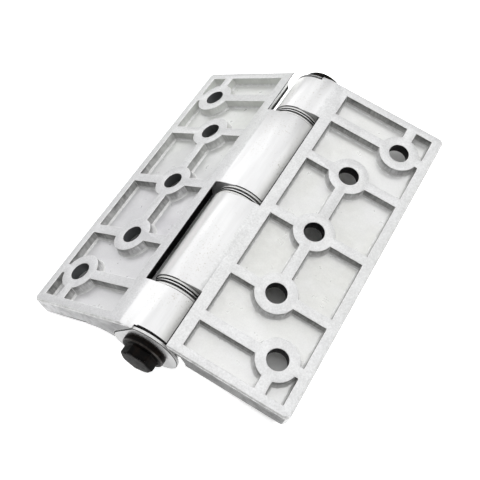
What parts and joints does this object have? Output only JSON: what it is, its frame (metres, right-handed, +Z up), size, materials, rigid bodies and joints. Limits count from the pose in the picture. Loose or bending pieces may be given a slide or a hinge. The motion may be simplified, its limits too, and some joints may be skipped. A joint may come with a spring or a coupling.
{
  "type": "cold room door hinge",
  "caption": "Heavy door hinge with two ribbed cast leaves whose interlocking knuckles turn on a through bolt; screws to a door and its frame.",
  "frame": {"origin": "on the floor below the middle of the pin, with the hinge standing on its leaves' outer edges", "axes": "+Y along the pin towards the nut, +Z up, +X towards the right leaf"},
  "size_m": [0.1254, 0.1656, 0.0275],
  "materials": {
    "casting": "bare die cast, fine satin grain",
    "black_steel": "black oxide, lightly oiled",
    "plated_steel": "zinc plated, dull",
    "bearing_rings": "natural off-white acetal",
    "thrust_washers": "plain turned"
  },
  "bodies": {
    "frame_leaf": {"right_leaf": "casting", "pin_bolt": "black_steel", "pin_nut": "black_steel", "nut_washer": "plated_steel", "knuckle_1_bush": "bearing_rings", "knuckle_3_far_bush": "bearing_rings", "knuckle_3_near_bush": "bearing_rings", "thrust_washer_1": "thrust_washers", "thrust_washer_2": "thrust_washers", "thrust_washer_3": "thrust_washers"},
    "door_leaf": {"left_leaf": "casting", "lock_plate": "plated_steel", "knuckle_2_far_bush": "bearing_rings", "knuckle_2_near_bush": "bearing_rings", "knuckle_4_bush": "bearing_rings"}
  },
  "joints": [
    {"name": "leaf_swing", "type": "hinge", "parent": "frame_leaf", "child": "door_leaf", "pos_m": [0, 0, 0.0145], "axis": [0, -1, 0], "range_deg": [-38, 142]}
  ]
}
